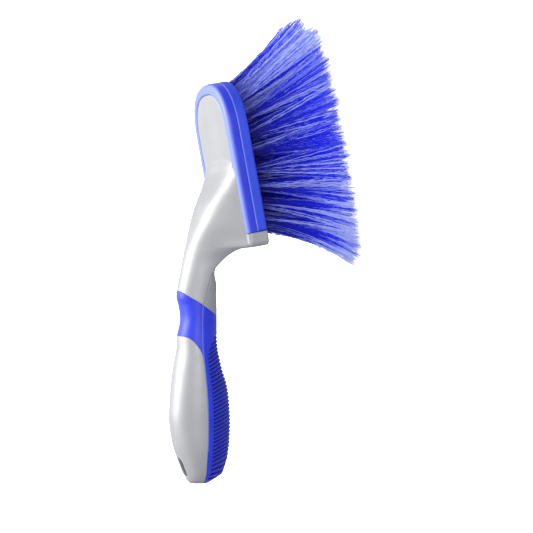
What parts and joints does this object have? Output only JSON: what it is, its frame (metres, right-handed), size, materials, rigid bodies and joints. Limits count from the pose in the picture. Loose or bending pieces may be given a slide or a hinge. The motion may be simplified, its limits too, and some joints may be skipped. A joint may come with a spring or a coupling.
{
  "type": "wheel brush",
  "caption": "Short-handled car wheel brush: soft-grip handle, arched neck and rimmed oval head with fanned bristle tufts, for scrubbing wheel rims.",
  "frame": {"origin": "bottom centre of the bounding box: the brush stands on its trimmed bristle tips, which lie in the plane z = 0", "axes": "+X along the head from the handle to the nose, +Z from the bristle tips through the back of the head, Y sideways; the handle runs to -X and rises 10.2 degrees"},
  "size_m": [0.2794, 0.08, 0.1342],
  "materials": {
    "silver_plastic": "satin",
    "blue_rubber": "satin",
    "blue_plastic": "satin",
    "bristle": "satin"
  },
  "bodies": {
    "root": {"rear_shell": "silver_plastic", "front_shell": "silver_plastic", "front_grip": "blue_rubber", "thumb_rest": "blue_rubber", "head_bumper": "blue_rubber", "tuft_block": "blue_plastic", "outer_tuft_01": "bristle", "outer_tuft_02": "bristle", "outer_tuft_03": "bristle", "outer_tuft_04": "bristle", "outer_tuft_05": "bristle", "outer_tuft_06": "bristle", "outer_tuft_07": "bristle", "outer_tuft_08": "bristle", "outer_tuft_09": "bristle", "outer_tuft_10": "bristle", "outer_tuft_11": "bristle", "outer_tuft_12": "bristle", "outer_tuft_13": "bristle", "outer_tuft_14": "bristle", "outer_tuft_15": "bristle", "outer_tuft_16": "bristle", "outer_tuft_17": "bristle", "outer_tuft_18": "bristle", "outer_tuft_19": "bristle", "outer_tuft_20": "bristle", "inner_tuft_01": "bristle", "inner_tuft_02": "bristle", "inner_tuft_03": "bristle", "inner_tuft_04": "bristle", "inner_tuft_05": "bristle", "inner_tuft_06": "bristle", "inner_tuft_07": "bristle", "inner_tuft_08": "bristle", "inner_tuft_09": "bristle", "inner_tuft_10": "bristle", "inner_tuft_11": "bristle", "inner_tuft_12": "bristle", "inner_tuft_13": "bristle", "inner_tuft_14": "bristle", "inner_tuft_15": "bristle", "inner_tuft_16": "bristle", "centre_tuft_01": "bristle", "centre_tuft_02": "bristle", "centre_tuft_03": "bristle", "centre_tuft_04": "bristle", "centre_tuft_05": "bristle", "centre_tuft_06": "bristle", "centre_tuft_07": "bristle"}
  },
  "joints": []
}
